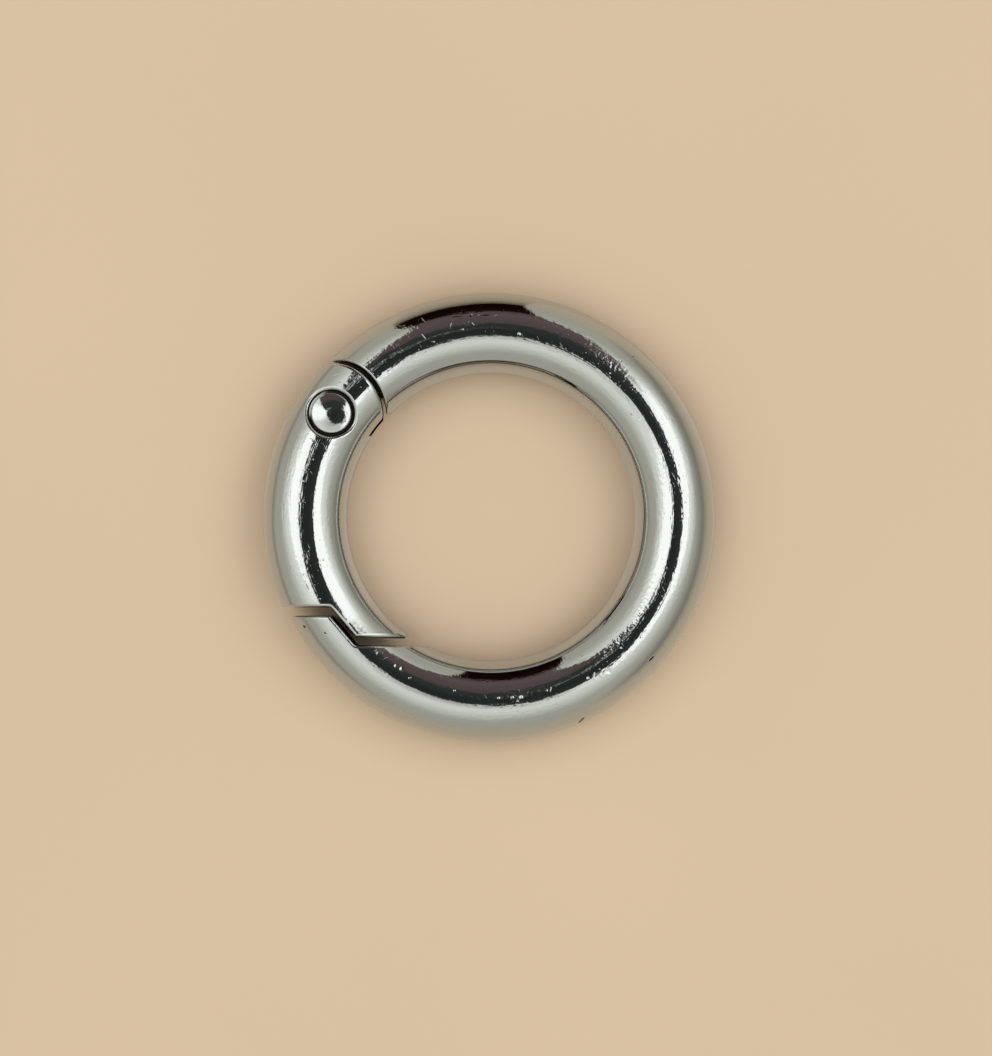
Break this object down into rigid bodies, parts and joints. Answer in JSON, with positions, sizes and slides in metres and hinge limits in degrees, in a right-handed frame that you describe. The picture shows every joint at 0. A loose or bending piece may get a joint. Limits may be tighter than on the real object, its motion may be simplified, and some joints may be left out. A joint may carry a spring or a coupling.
{
  "type": "spring gate ring",
  "caption": "Round metal carrying ring with a hinged, spring-closed gate that swings into the eye and meets the body at a stepped nose.",
  "frame": {"origin": "centre of the ring's eye, on the middle plane of its bar", "axes": "+Z along the hinge, square to the plane of the ring; +X away from the gate; +Y from the nose end towards the hinge end"},
  "size_m": [0.0393, 0.039, 0.007],
  "materials": {
    "plated_casting": "polished",
    "plated_rivet": "polished",
    "spring_steel": "satin"
  },
  "bodies": {
    "ring": {"ring_body": "plated_casting"},
    "gate_arm": {"gate": "plated_casting", "hinge_rivet": "plated_rivet", "gate_spring": "spring_steel"}
  },
  "joints": [
    {"name": "gate_hinge", "type": "hinge", "parent": "ring", "child": "gate_arm", "pos_m": [-0.01374, 0.00882, 0], "axis": [0, 0, 1], "range_deg": [0, 37.5], "stiffness_Nm_per_rad": 0.012, "springref_deg": -68.75, "deforming": ["gate_spring"]}
  ]
}
